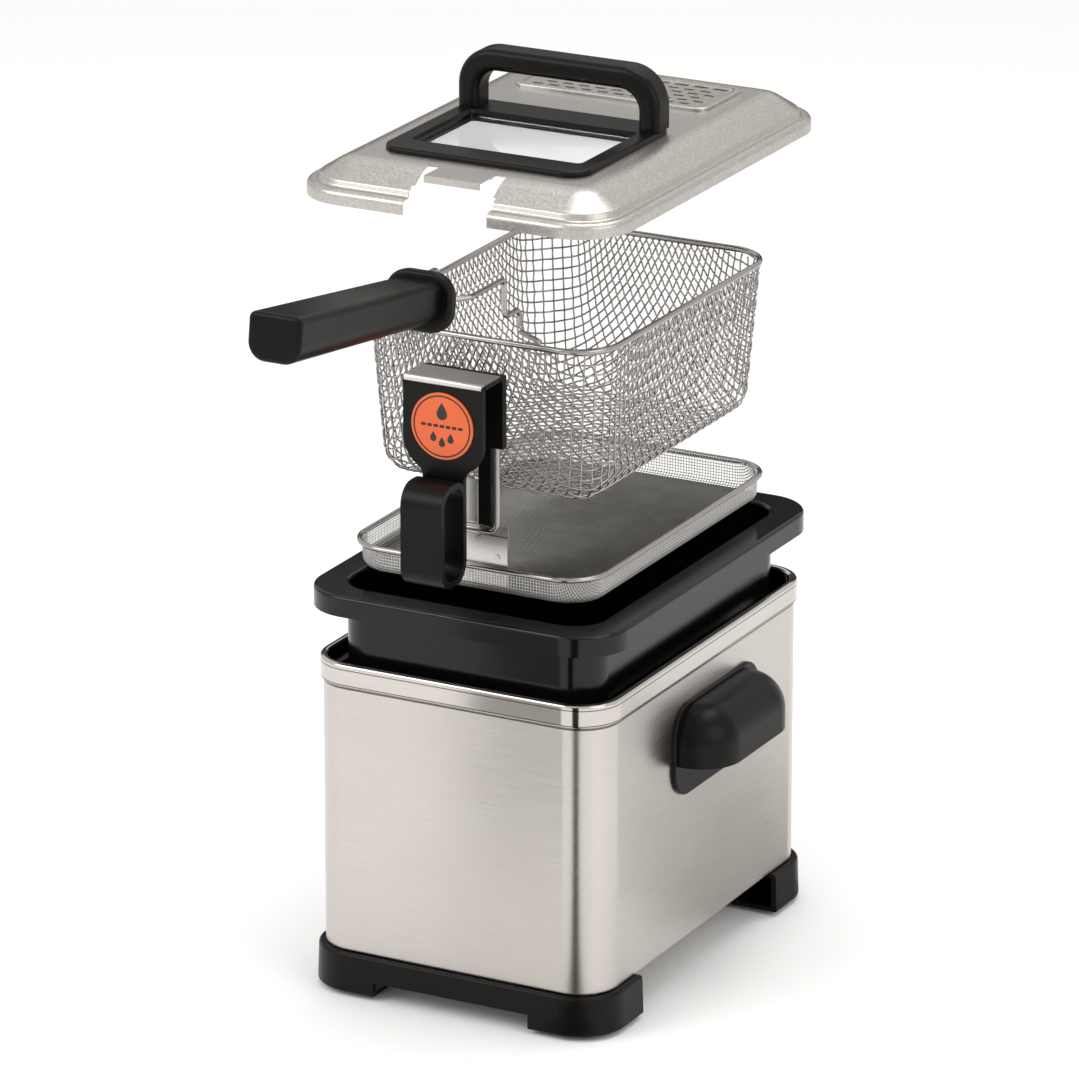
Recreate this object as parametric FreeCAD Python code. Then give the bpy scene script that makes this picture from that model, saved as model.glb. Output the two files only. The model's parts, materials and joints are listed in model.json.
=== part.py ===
import FreeCAD, Part
import math
import os

os.makedirs("parts", exist_ok=True)
V = FreeCAD.Vector

# Deep fryer shown lifted apart. X is to the right, the front faces -Y, Z is up, feet on Z = 0.
# All heights below are those of the closed fryer; each group is raised by its lift when saved.
# The housing is drawn about X = Y = 0 and moved by back_y when saved, under the whole outline's middle.
back_y = 103.1553
bowl_up = 49.0
filter_up = bowl_up + 168.0
basket_up = filter_up + 61.0
lid_up = basket_up + 65.0

# Housing
width = 230.0
depth = 330.0
corner_r = 29.0
sheet = 0.8
wall_bottom = 32.0
groove_z = 231.0
rim_top = 249.0
rim_proud = 2.2
rail_proud = 5.0
rail_web = 22.0
rail_arch_z = 14.0
foot_front = 53.0
foot_side = 58.0
pad_h = 3.0
pad_inset = 22.0

# Side handles
grip_y = 14.0
plate_l = 134.0
plate_z0 = 143.0
plate_z1 = 212.0
plate_t = 3.0
plate_r = 22.0
hood_l = 127.0
hood_out = 37.0
hood_z0 = 169.0
hood_wall = 4.5
hood_r = 31.0
hood_round = 27.0
boss_dy = 36.0
boss_z = 197.0

# Heater below the bowl
plate_top = 91.5
plate_h = 4.0
tube_r = 3.5
shield_z = 58.0

# Rear control panel
panel_w = 150.0
panel_z0 = 62.0
panel_z1 = 152.0
panel_out = 20.0
panel_wall = 2.5
knob_x = -38.0
knob_z = 108.0
knob_r = 21.0
lamp_x = 10.0
lamp_z = 122.0
inlet_x = 42.0
inlet_z = 92.0

# Bowl
flange_over = 6.5
flange_r = 36.0
flange_t = 3.0
lip_t = 2.0
lip_h = 12.0
bowl_in = 13.5
bowl_wall = 2.0
bowl_draft = 0.8
bowl_r = 26.0
bowl_floor = 94.0

# Oil filter tray
tray_w = 192.0
tray_d = 292.0
tray_r = 30.0
tray_wire = 2.0
tray_rim_z = 114.0
tray_floor = 95.0
gauze_t = 0.8
tab_y = -tray_d / 2 + tray_wire + gauze_t + 0.1
tab_half = 32.0
rivets = [(-24.0, 8.0), (-9.0, 20.0), (9.0, 20.0), (24.0, 8.0)]

# Lever that hooks over the bowl's flange
lever_y = -145.2
lever_low = 141.0
lever_x = 25.2
lever_half = 31.0
plate_back = -172.6
plate_front = -177.0
hook_top = 255.4
hook_t = 2.6
strip_y0 = -148.0
strip_y1 = -142.3
strip_x0 = 12.0
strip_x1 = 21.5
strip_z = 146.0
socket_z = 203.0
loop_half = 16.0
loop_front = -209.0
loop_z0 = 114.0
loop_z1 = 188.0
loop_t = 4.5
bead_r = 2.8
badge_r = 24.0
badge_z = 224.0

# Basket
basket_w = 190.0
basket_d = 275.0
basket_cy = 8.0
basket_r = 32.0
basket_wire = 2.25
basket_rim_z = 213.0
basket_floor = 98.6
basket_taper = 10.0
basket_edge_r = 20.0
mesh_t = 1.5
mesh_a = 10.0
mesh_hole = 8.9

# Basket handle
rod_r = 2.0
rod_x = 26.0
rod_in = 12.5
rod_z = 260.8
rod_drop_y = -136.0
rod_back_y = -114.0
rod_end_x = 50.0
collar_y = -204.0
collar_t = 9.0
tenon = 30.0
grip_l = 205.0
handle_tilt = 8.0

# Lid
lid_over = 8.5
lid_r = 39.0
lid_t = 0.9
skirt_z = 243.0
lid_top = 270.0
crest_r = 24.0
slot_half = 4.5
tongue_y = -163.0
slot_end_y = -139.0
frame_w = 158.0
frame_y0 = -124.0
frame_y1 = 17.0
frame_r = 16.0
frame_h = 4.2
glass_w = 129.0
glass_y0 = -99.0
glass_y1 = -15.0
vent_w = 153.0
vent_d = 65.0
vent_y = 100.0
handle_x = 69.0
handle_y = 1.0
handle_half = 79.0
handle_h = 48.0


def run(points, closed=False):
    """Joins points (x, y, z, corner radius) by lines and tangent arcs."""
    n = len(points)
    ends = []
    for i in range(n):
        p = V(*points[i][:3])
        r = points[i][3]
        if r <= 0 or (not closed and i in (0, n - 1)):
            ends.append((p, None, p))
            continue
        a = V(*points[i - 1][:3]).sub(p).normalize()
        b = V(*points[(i + 1) % n][:3]).sub(p).normalize()
        half = a.getAngle(b) / 2
        cut = r / math.tan(half)
        mid = V(a).add(b).normalize().multiply(r / math.sin(half) - r)
        ends.append((p + a * cut, p + mid, p + b * cut))
    edges = []
    for i in range(n if closed else n - 1):
        first = ends[i]
        last = ends[(i + 1) % n]
        if first[1]:
            edges.append(Part.Arc(*first).toShape())
        if first[2].distanceToPoint(last[0]) > 1e-6:
            edges.append(Part.makeLine(first[2], last[0]))
    return Part.Wire(edges)


def rrect(w, d, r, z, cy=0.0, cx=0.0):
    x0, x1, y0, y1 = cx - w / 2, cx + w / 2, cy - d / 2, cy + d / 2
    return run([(x0, y0, z, r), (x1, y0, z, r), (x1, y1, z, r), (x0, y1, z, r)], True)


def block(w, d, r, z0, z1, cy=0.0, cx=0.0):
    return Part.Face(rrect(w, d, r, z0, cy, cx)).extrude(V(0, 0, z1 - z0))


def box(x0, x1, y0, y1, z0, z1):
    return Part.makeBox(x1 - x0, y1 - y0, z1 - z0, V(x0, y0, z0))


def rod(x, y, z, r, length, axis=V(0, 0, 1)):
    return Part.makeCylinder(r, length, V(x, y, z), axis)


def frustum(low, high):
    return Part.makeLoft([rrect(*low), rrect(*high)], True, True)


def around(points, w, d, r, cy=0.0):
    """Carries a section (outward offset, height, radius) round a rounded rectangle."""
    hx, hy = w / 2 - r, d / 2 - r
    sides = [((hx, -hy), 0, 2 * hy), ((hx, hy), 90, 2 * hx),
             ((-hx, hy), 180, 2 * hy), ((-hx, -hy), 270, 2 * hx)]
    section = Part.Face(run([(r + u, 0, z, f) for u, z, f in points], True))
    solids = []
    for (x, y), turn, length in sides:
        face = section.copy()
        face.rotate(V(), V(0, 0, 1), turn)
        face.translate(V(x, y + cy, 0))
        way = V(math.cos(math.radians(turn + 90)), math.sin(math.radians(turn + 90)), 0)
        solids.append(face.extrude(way * length))
        bend = section.copy()
        bend.rotate(V(), V(0, 0, 1), turn)
        bend.translate(V(x, y + cy, 0) + (way * length))
        solids.append(bend.revolve(V(x, y + cy, 0) + (way * length), V(0, 0, 1), 90))
    return solids[0].multiFuse(solids[1:]).removeSplitter()


def wire(points, r, closed=False):
    """A round wire along a path with rounded bends."""
    path = run(points, closed)
    start = path.OrderedEdges[0]
    way = start.tangentAt(start.FirstParameter)
    ring = Part.Wire(Part.makeCircle(r, start.valueAt(start.FirstParameter), way))
    return path.makePipeShell([ring], True, True)


def drill(shape, tools):
    return shape.cut(Part.makeCompound(tools))


def soften(shape, radius, pick):
    edges = [e for e in shape.Edges if pick(e)]
    return shape.makeFillet(radius, edges)


def flat_at(z):
    return lambda e: abs(e.BoundBox.ZMin - z) < 0.01 and abs(e.BoundBox.ZMax - z) < 0.01


def save(shape, name, up=0.0):
    out = shape.copy()
    out.translate(V(0, back_y, up))
    out.exportStep("parts/" + name + ".step")


def mirrored(shape):
    return shape.mirror(V(), V(1, 0, 0))


rail_screws = [(sx * x, sy * y) for sx in (-1, 1) for sy in (-1, 1)
               for x, y in ((50.0, depth / 2 - 15), (width / 2 - 15, depth / 2 - 48))]
pads = [(sx * (width / 2 - pad_inset), sy * (depth / 2 - pad_inset)) for sx in (-1, 1) for sy in (-1, 1)]
panel_screws = [(sx * (panel_w / 2 - 9), z) for sx in (-1, 1) for z in (panel_z0 + 9, panel_z1 - 9)]


def outer_shell():
    section = [(-9, wall_bottom, 0), (0, wall_bottom, 2), (0, groove_z, 0.6), (rim_proud, groove_z + 2, 0.8),
               (rim_proud, rim_top, 2.2), (-3.6, rim_top, 2.2), (-3.6, rim_top - 7, 0),
               (-2.8, rim_top - 7, 0), (-2.8, rim_top - sheet, 1.3),
               (rim_proud - sheet, rim_top - sheet, 1.3),
               (rim_proud - sheet, groove_z + 2.4, 0), (-sheet, groove_z + 0.4, 0),
               (-sheet, wall_bottom + sheet, 1.2), (-9, wall_bottom + sheet, 0)]
    shell = around(section, width, depth, corner_r)
    holes = [rod(-width, grip_y + s * boss_dy, boss_z, 2.2, 2 * width, V(1, 0, 0)) for s in (-1, 1)]
    holes += [rod(x, depth / 2 - 5, z, 1.8, 10, V(0, 1, 0)) for x, z in panel_screws]
    holes.append(box(-58, 60, depth / 2 - 5, depth / 2 + 5, panel_z0 + 16, panel_z1 - 18))
    return drill(shell, holes)


def base_pan():
    gap = 2 * sheet + 0.6
    z0 = wall_bottom + sheet
    pan = block(width - gap, depth - gap, corner_r - 1.1, z0, z0 + 6)
    pan = soften(pan, 1.6, flat_at(z0))
    pan = pan.cut(block(width - gap - 2, depth - gap - 2, corner_r - 2.1, z0 + 1, z0 + 7))
    holes = [rod(x, y, z0 - 1, 2.2, 4) for x, y in rail_screws]
    holes += [block(6, 60, 2.9, z0 - 1, z0 + 3, s * 55, x) for x in range(-60, 61, 20) for s in (-1, 1)]
    return drill(pan, holes)


def foot_rail(front):
    low = pad_h
    section = [(1.5, low, 0), (rail_proud + 1, low, 1.5), (rail_proud, wall_bottom, 2.5),
               (-rail_web, wall_bottom, 0), (-rail_web, wall_bottom - 3, 0), (1.5, wall_bottom - 3, 0)]
    rail = around(section, width, depth, corner_r)
    foot = block(width + 8, depth + 8, corner_r + 4, low, low + 3)
    foot = foot.cut(box(-width / 2 + foot_front, width / 2 - foot_front, -depth, depth, 0, 20))
    rail = rail.fuse(foot.cut(box(-width / 2 + 40, width / 2 - 40, -depth / 2 + 40, depth / 2 - 40, 0, 20)))
    sign = -1 if front else 1
    y_end = sign * (depth / 2 - foot_side)
    y_far = sign * depth
    keep = box(-width, width, min(y_end, y_far), max(y_end, y_far), -1, wall_bottom + 1)
    arch = box(-width / 2 + foot_front, width / 2 - foot_front, min(0, y_far), max(0, y_far), 0, rail_arch_z)
    rail = rail.common(keep).cut(arch)
    return drill(rail, [rod(x, y, wall_bottom - 4, 2.2, 6) for x, y in rail_screws]
                 + [rod(x, y, low - 1, 3.1, 6) for x, y in pads]).removeSplitter()


def rubber_feet():
    return Part.makeCompound([rod(x, y, 0, 9, pad_h).fuse(rod(x, y, pad_h, 3, 3)) for x, y in pads])


def foot_screws():
    z = wall_bottom - 3
    return Part.makeCompound([rod(x, y, z - 2.4, 4, 2.4).fuse(rod(x, y, z, 2, 9)) for x, y in rail_screws])


def side_handle():
    """A plate on the wall with a domed hood that is open below for the fingers."""
    x0 = width / 2
    zc = (plate_z0 + plate_z1) / 2
    plate = block(plate_z1 - plate_z0, plate_l, plate_r, 0, plate_t)
    plate = soften(plate, 1.4, flat_at(plate_t))
    plate.rotate(V(), V(0, 1, 0), 90)
    plate.translate(V(x0, grip_y, zc))
    back = 80.0
    top = plate_z1 - 2
    cx = x0 + (hood_out - back) / 2
    t = hood_wall
    hood = soften(block(back + hood_out, hood_l, hood_r, hood_z0, top, grip_y, cx), hood_round, flat_at(top))
    inner = block(back + hood_out - 2 * t, hood_l - 2 * t, hood_r - t, hood_z0 - 1, top - t, grip_y, cx)
    inner = soften(inner, hood_round - t, flat_at(top - t))
    wall_side = box(x0 - 100, x0 + plate_t, -200, 200, 0, 400)
    hood = hood.cut(inner.cut(wall_side)).cut(box(x0 - 100, x0 + 0.5, -200, 200, 0, 400))
    body = plate.fuse(hood)
    spots = [grip_y - boss_dy, grip_y + boss_dy]
    body = body.fuse([rod(x0 + plate_t, y, boss_z, 5, 7, V(1, 0, 0)) for y in spots])
    return drill(body, [rod(x0 - 1, y, boss_z, 2.1, 10, V(1, 0, 0)) for y in spots]).removeSplitter()


def handle_screws():
    solids = []
    for s in (-1, 1):
        y = grip_y + s * boss_dy
        head = rod(width / 2 - sheet - 2.4, y, boss_z, 4, 2.4, V(1, 0, 0))
        screw = head.fuse(rod(width / 2 - sheet, y, boss_z, 2, 8.6, V(1, 0, 0)))
        solids += [screw, mirrored(screw)]
    return Part.makeCompound(solids)


def heat_shield():
    z1 = plate_top - plate_h
    pan = block(172, 262, 18, shield_z, z1).cut(block(170, 260, 17, shield_z + 1, z1 + 1))
    slots = [box(-30, 30, 100, 150, shield_z + 14, z1 + 1)]
    slots += [rod(x, y, shield_z - 1, 2.2, 3) for x in (-60, 60) for y in (-100, 100)]
    return drill(pan, slots)


def shield_posts():
    z0 = wall_bottom + sheet + 1
    return Part.makeCompound([rod(x, y, z0, 5, shield_z - z0).fuse(rod(x, y, shield_z, 2, 5))
                              for x in (-60, 60) for y in (-100, 100)])


def heater_plate():
    return soften(block(174, 264, 20, plate_top - plate_h, plate_top), 1, flat_at(plate_top))


def heating_element():
    z = plate_top - plate_h - tube_r - 0.05
    path = [(-12, 122, z, 0), (-12, 70, z, 14), (-62, 70, z, 24), (-62, -100, z, 24), (62, -100, z, 24),
            (62, 70, z, 24), (12, 70, z, 14), (12, 122, z, 0)]
    return wire(path, tube_r)


def element_clamps():
    z = plate_top - plate_h
    solids = []
    for x, y in ((-62, -20), (62, -20), (-62, 30), (62, 30)):
        strap = box(x - 10, x + 10, y - 6, y + 6, z - 9, z - 0.05)
        solids.append(strap.cut(box(x - 3.7, x + 3.7, y - 7, y + 7, z - 7.4, z)))
    return Part.makeCompound(solids)


def thermostat_body():
    y1 = depth / 2 + panel_out - 4
    body = block(34, 30, 3, 0, 16)
    body.rotate(V(), V(1, 0, 0), 90)
    body.translate(V(knob_x, y1 - 14, knob_z))
    body = body.fuse(rod(knob_x, y1 - 14, knob_z, 7, 13.9, V(0, 1, 0)))
    return body.cut(rod(knob_x, y1 - 8, knob_z, 4.1, 20, V(0, 1, 0)))


def thermostat_sensor():
    """A bulb under the heater plate; its capillary dips below the element and ends at the thermostat."""
    x, z = -24.0, plate_top - plate_h - 4
    dip = z - 10
    y_up = depth / 2 - 10
    bulb = rod(x, -40, z, 3, 80, V(0, 1, 0))
    path = [(x, 39, z, 0), (x, 46, z, 3), (x, 56, dip, 3), (x, y_up, dip, 6), (x, y_up, knob_z - 15.05, 0)]
    return bulb.fuse(wire(path, 1))


def thermal_cutout():
    z = shield_z - 8
    return rod(0, 60, z, 9, 7.9).fuse(box(-14, 14, 57, 63, z + 6.4, z + 7.9))


def terminal_block():
    z = wall_bottom + sheet + 1
    body = box(-24, 24, 112, 132, z, z + 14)
    body = soften(body, 1.5, flat_at(z + 14))
    return drill(body, [rod(x, 122, z + 6, 3, 10) for x in (-15, 0, 15)])


def control_panel():
    y0 = depth / 2
    h = panel_z1 - panel_z0
    zc = (panel_z0 + panel_z1) / 2
    body = block(panel_w, h, 12, 0, panel_out)
    body = soften(body, 5, flat_at(panel_out))
    cavity = block(panel_w - 2 * panel_wall, h - 2 * panel_wall, 10, -1, panel_out - 4)
    body = body.cut(cavity)
    for x, z in panel_screws:
        body = body.fuse(rod(x, z - zc, 0, 5.5, panel_out - 1))
    holes = [rod(x, z - zc, -1, 1.8, 13) for x, z in panel_screws]
    holes.append(rod(knob_x, knob_z - zc, 0, 4.2, 40))
    holes.append(rod(lamp_x, lamp_z - zc, 0, 4.1, 40))
    holes.append(block(30, 22, 4, 0, 40, inlet_z - zc, inlet_x))
    body = drill(body, holes)
    body.rotate(V(), V(1, 0, 0), 90)
    body.rotate(V(), V(0, 0, 1), 180)
    body.translate(V(0, y0, zc))
    return mirrored(body)


def control_panel_screws():
    solids = []
    for x, z in panel_screws:
        head = rod(x, depth / 2 - sheet - 2.4, z, 3.6, 2.4, V(0, 1, 0))
        solids.append(head.fuse(rod(x, depth / 2 - sheet, z, 1.7, 10, V(0, 1, 0))))
    return Part.makeCompound(solids)


def pilot_lamp():
    y1 = depth / 2 + panel_out
    lamp = rod(lamp_x, y1 - 12, lamp_z, 4, 13.5, V(0, 1, 0))
    lamp = lamp.makeFillet(1.2, [e for e in lamp.Edges if abs(e.BoundBox.YMin - y1 - 1.5) < 0.01])
    return lamp.fuse(rod(lamp_x, y1 - 14, lamp_z, 5.5, 3, V(0, 1, 0)))


def power_inlet():
    y1 = depth / 2 + panel_out
    body = block(29.6, 21.6, 3.8, 0, 22)
    body = body.cut(block(25, 17, 3, 5, 30))
    for x, z in ((-7, -2), (0, 3), (7, -2)):
        body = body.fuse(block(4, 2, 0.9, 4, 18, z, x))
    rim = block(36, 28, 5, 22, 24).cut(block(25, 17, 3, 20, 30))
    body = body.fuse(soften(rim, 1, flat_at(24)))
    body.rotate(V(), V(1, 0, 0), 90)
    body.rotate(V(), V(0, 0, 1), 180)
    body.translate(V(inlet_x, y1 - 22, inlet_z))
    return body.removeSplitter()


def thermostat_knob():
    y1 = depth / 2 + panel_out + 0.6
    skirt = rod(0, 0, 0, knob_r, 5)
    skirt = soften(skirt, 1.5, flat_at(5))
    cap = soften(block(15, 2 * knob_r - 3, 7, 5, 17), 2, flat_at(17))
    knob = skirt.fuse(cap).fuse(rod(0, 0, -12, 4, 12))
    knob.rotate(V(), V(1, 0, 0), -90)
    knob.translate(V(knob_x, y1, knob_z))
    return knob


def bowl():
    w, d = width - 2 * bowl_in, depth - 2 * bowl_in
    low = bowl_floor - bowl_wall
    outer = frustum((w - 2 * bowl_draft, d - 2 * bowl_draft, bowl_r, low), (w, d, bowl_r, rim_top + 1))
    outer = soften(outer, 13, flat_at(low))
    top = rim_top + flange_t
    fw, fd = width + 2 * flange_over, depth + 2 * flange_over
    flange = block(fw, fd, flange_r, rim_top + 0.05, top)
    flange = soften(flange, 2.4, flat_at(top))
    lip = block(fw, fd, flange_r, rim_top - lip_h, rim_top + 0.05)
    lip = lip.cut(block(fw - 2 * lip_t, fd - 2 * lip_t, flange_r - lip_t, rim_top - 20, rim_top + 1))
    t = 2 * bowl_wall
    low_w, low_d = w - t - 2 * bowl_draft, d - t - 2 * bowl_draft
    inner = frustum((low_w, low_d, bowl_r - 2, bowl_floor), (w - t, d - t, bowl_r - 2, top))
    inner = soften(inner, 11, flat_at(bowl_floor))
    body = outer.fuse([flange, lip]).cut(inner).removeSplitter()
    return soften(body, 2.2, lambda e: flat_at(top)(e) and abs(e.CenterOfMass.x) < w / 2 and
                  abs(e.CenterOfMass.y) < d / 2)


def filter_pan():
    w, d = tray_w - 2 * tray_wire - 0.1, tray_d - 2 * tray_wire - 0.1
    top = tray_rim_z + tray_wire
    outer = soften(block(w, d, tray_r - 2, tray_floor, top), 6, flat_at(tray_floor))
    inner = block(w - 2 * gauze_t, d - 2 * gauze_t, tray_r - 2 - gauze_t, tray_floor + gauze_t, top + 1)
    return outer.cut(soften(inner, 5.2, flat_at(tray_floor + gauze_t)))


def ring_section(r, z):
    return [(-r, z - r, r * 0.999), (r, z - r, r * 0.999), (r, z + r, r * 0.999), (-r, z + r, r * 0.999)]


def filter_rim():
    return around(ring_section(tray_wire, tray_rim_z), tray_w, tray_d, tray_r)


def rivet_holes():
    return [rod(x, tab_y - 5, tray_rim_z + z, 1.3, 20, V(0, 1, 0)) for x, z in rivets]


def filter_tab():
    """The plate that stands in the tray, against its front wall."""
    plate = box(-tab_half, tab_half, tab_y, tab_y + 1, tray_floor + 7, tray_rim_z + 23)
    return drill(plate, rivet_holes())


def filter_bracket():
    """The plate riveted to the tab, with the hem that holds the lever's wire."""
    y0 = tab_y + 1.05
    plate = box(-tab_half, tab_half, y0, y0 + 1, tray_floor + 9, 145)
    plate = plate.fuse(box(-8, 8, y0, y0 + 1, 144, 176))
    hem = rod(-12, lever_y, lever_low, 3, 24, V(1, 0, 0))
    web = box(-12, 12, lever_y, y0 + 1, lever_low - 3, lever_low - 2)
    plate = plate.fuse([hem, web])
    return drill(plate, rivet_holes() + [rod(-30, lever_y, lever_low, 2.1, 60, V(1, 0, 0))]).removeSplitter()


def bracket_rivets():
    y1 = tab_y + 2.05
    solids = []
    for x, dz in rivets:
        z = tray_rim_z + dz
        shank = rod(x, tab_y - 0.05, z, 1.25, 2.1, V(0, 1, 0))
        head = Part.makeSphere(3.2, V(x, y1 - 2, z)).common(rod(x, y1, z, 3, 4, V(0, 1, 0)))
        solids.append(shank.fuse([head, rod(x, tab_y - 0.75, z, 2.2, 0.75, V(0, 1, 0))]))
    return Part.makeCompound(solids)


def lever_wire():
    top = socket_z + 12
    half = [(lever_x, lever_y, top, 0), (lever_x, lever_y, lever_low, 6)]
    return wire(half + [(-x, y, z, r) for x, y, z, r in reversed(half)], 2.0)


def lever_bead(r):
    return rod(-lever_half + 1, plate_front + 2.2, hook_top - 0.6, r, 2 * lever_half - 2, V(1, 0, 0))


def lever_handle():
    """Shield-shaped plate, hook over the flange, two strips behind the flange and a finger loop below."""
    h, n = lever_half, loop_half
    half = [(h, hook_top, 2), (h, 201, 24), (n, 190, 7), (n, loop_z1 - 12, 0)]
    shield = half + [(-x, z, r) for x, z, r in reversed(half)]
    front = Part.Face(run([(x, plate_front, z, r) for x, z, r in shield], True))
    body = front.extrude(V(0, plate_back - plate_front, 0))
    body = body.fuse(box(-h, h, plate_back, strip_y1, hook_top - hook_t, hook_top))
    for s in (-1, 1):
        x0, x1 = sorted((s * strip_x0, s * strip_x1))
        body = body.fuse(box(x0, x1, strip_y0, strip_y1, strip_z, hook_top))
        x0, x1 = sorted((s * strip_x0, s * h))
        socket = box(x0, x1, strip_y0, strip_y1, socket_z, hook_top)
        body = body.fuse(socket.cut(rod(s * lever_x, lever_y, socket_z - 1, 2.15, 14)))
    loops = []
    for t in (0.0, loop_t):
        y0, y1, z0, z1, r = loop_front + t, plate_back - t, loop_z0 + t, loop_z1 - t, 15 - t
        side = run([(-n, y0, z0, r), (-n, y1, z0, r), (-n, y1, z1, r), (-n, y0, z1, r)], True)
        loops.append(Part.Face(side).extrude(V(2 * n, 0, 0)))
    return body.fuse(loops[0]).cut(loops[1]).cut(lever_bead(bead_r + 0.05)).removeSplitter()


def lever_cap():
    """Stainless strip along the top of the hook, rolled at its front edge."""
    low = hook_top + 0.05
    h = lever_half - 1
    strip = box(-h, h, plate_front + 2, strip_y0 - 2, low, low + 1.2)
    return strip.fuse(lever_bead(bead_r)).removeSplitter()


def lever_badge():
    disc = rod(0, plate_front - 1.25, badge_z, badge_r, 1.2, V(0, 1, 0))
    return disc.makeFillet(0.4, [e for e in disc.Edges if e.BoundBox.YMax < plate_front - 1.2])


def basket_skin():
    """The drawn basket as a thin closed skin, before it is opened into mesh."""
    w, d, r, t = basket_w, basket_d, basket_r, basket_taper
    top = basket_rim_z
    outer = frustum((w - 2 * t, d - 2 * t, r, basket_floor, basket_cy), (w, d, r, top, basket_cy))
    outer = soften(outer, basket_edge_r, flat_at(basket_floor))
    s = 2 * mesh_t
    low, r_in = basket_floor + mesh_t, r - mesh_t
    w, d = w - s, d - s
    inner = frustum((w - 2 * t, d - 2 * t, r_in, low, basket_cy), (w, d, r_in, top, basket_cy))
    inner = soften(inner, basket_edge_r - mesh_t, flat_at(low))
    return outer.cut(inner)


def diamonds(length, height, s_mid, t_mid, margin=2.0):
    """Centres of the mesh openings on a flat field, in staggered rows."""
    spots = []
    rows = int((height / 2 - mesh_hole - margin) / mesh_a)
    for j in range(-rows, rows + 1):
        shift = mesh_a if j % 2 else 0.0
        cols = int((length / 2 + mesh_a) / (2 * mesh_a))
        for i in range(-cols - 1, cols + 1):
            s = 2 * mesh_a * i + shift
            if abs(s) < length / 2 - mesh_hole - margin:
                spots.append((s_mid + s, t_mid + j * mesh_a))
    return spots


def diamond(place, along, up, through):
    a, u = along * mesh_hole, up * mesh_hole
    outline = Part.makePolygon([place + a, place + u, place - a, place - u, place + a])
    return Part.Face(outline).extrude(through)


def basket_mesh():
    skin = basket_skin()
    hx, hy = basket_w / 2 - basket_r - 4, basket_d / 2 - basket_r - 4
    fx, fy = basket_w / 2 - basket_taper - basket_edge_r, basket_d / 2 - basket_taper - basket_edge_r
    z0 = basket_floor + basket_edge_r - 9
    z1 = basket_rim_z - basket_wire - 0.1
    zc, zh = (z0 + z1) / 2, z1 - z0
    low, top = basket_floor - 1, z1
    x, y, z = V(1, 0, 0), V(0, 1, 0), V(0, 0, 1)
    far = 300.0
    fields = {}
    spots = diamonds(2 * fx, 2 * fy, 0, basket_cy)
    fields["floor"] = (box(-fx, fx, basket_cy - fy, basket_cy + fy, low, low + 20),
                       [diamond(V(s, t, low - 1), x, y, z * 5) for s, t in spots])
    for name, sx in (("right", 1), ("left", -1)):
        spots = diamonds(2 * hy, zh, basket_cy, zc)
        keep = box(min(sx * fx, sx * far), max(sx * fx, sx * far), basket_cy - hy, basket_cy + hy, low, top)
        fields[name] = (keep, [diamond(V(sx * fx, s, t), y, z, x * (sx * 60)) for s, t in spots])
    for name, sy in (("rear", 1), ("front", -1)):
        spots = diamonds(2 * hx, zh, 0, zc)
        y0, y1 = sorted((basket_cy + sy * fy, basket_cy + sy * far))
        fields[name] = (box(-hx, hx, y0, y1, low, top),
                        [diamond(V(s, basket_cy + sy * fy, t), x, z, y * (sy * 60)) for s, t in spots])
    for sx in (-1, 1):
        for sy in (-1, 1):
            x0, x1 = sorted((sx * hx, sx * far))
            y0, y1 = sorted((basket_cy + sy * hy, basket_cy + sy * far))
            keep = box(x0, x1, y0, y1, low, top).cut(box(-fx, fx, basket_cy - fy, basket_cy + fy, low, top))
            holes = []
            for turn in (17, 45, 73):
                a = math.radians(turn)
                out = V(sx * math.cos(a), sy * math.sin(a), 0)
                side = V(-out.y, out.x, 0) * 0.75
                start = V(sx * hx, basket_cy + sy * hy, 0) + out * 12
                shift = mesh_a if turn == 45 else 0.0
                for j in range(int((zh - 2 * mesh_hole - shift) / (2 * mesh_a)) + 1):
                    zz = z1 - mesh_hole - 2 - shift - 2 * mesh_a * j
                    holes.append(diamond(start + z * zz, side, z, out * 60))
            place = ("rear_" if sy > 0 else "front_") + ("right" if sx > 0 else "left")
            fields["corner_" + place] = (keep, holes)
    for name, (keep, holes) in fields.items():
        save(drill(skin.common(keep), holes), "basket_mesh_" + name, basket_up)


def basket_rim():
    return around(ring_section(basket_wire, basket_rim_z), basket_w, basket_d, basket_r, basket_cy)


def handle_path(side):
    """From inside the collar back over the lid's slot, down in two steps and out along the rim."""
    low = basket_rim_z + basket_wire + rod_r + 0.05
    step = low + 16
    rise = math.tan(math.radians(handle_tilt))
    path = [(rod_in, collar_y - 20, rod_z + 20 * rise, 0), (rod_in, collar_y + 2, rod_z, 6),
            (rod_x, collar_y + 22, rod_z, 8), (rod_x, rod_drop_y, rod_z, 5), (rod_x, rod_drop_y, step, 5),
            (rod_x, rod_back_y, step, 5), (rod_x, rod_back_y, low, 5),
            (rod_end_x, basket_cy - basket_d / 2, low, 0)]
    return [(side * x, y, z, r) for x, y, z, r in path]


def handle_wires():
    return Part.makeCompound([wire(handle_path(s), rod_r) for s in (-1, 1)])


def tilted(shape):
    """Places a piece drawn along +Z so that it leaves the collar forwards and a little upwards."""
    out = shape.copy()
    out.rotate(V(), V(1, 0, 0), 90)
    out.rotate(V(), V(1, 0, 0), -handle_tilt)
    out.translate(V(0, collar_y, rod_z))
    return out


def handle_collar():
    body = soften(block(52, 42, 17, 0, collar_t), 3, flat_at(collar_t))
    body = soften(body, 2, flat_at(0))
    collar = tilted(body.fuse(block(tenon, 22, 6, collar_t, collar_t + 20)))
    bores = [wire(handle_path(s)[:3], rod_r + 0.15) for s in (-1, 1)]
    return collar.cut(bores[0].fuse(bores[1]))


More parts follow.
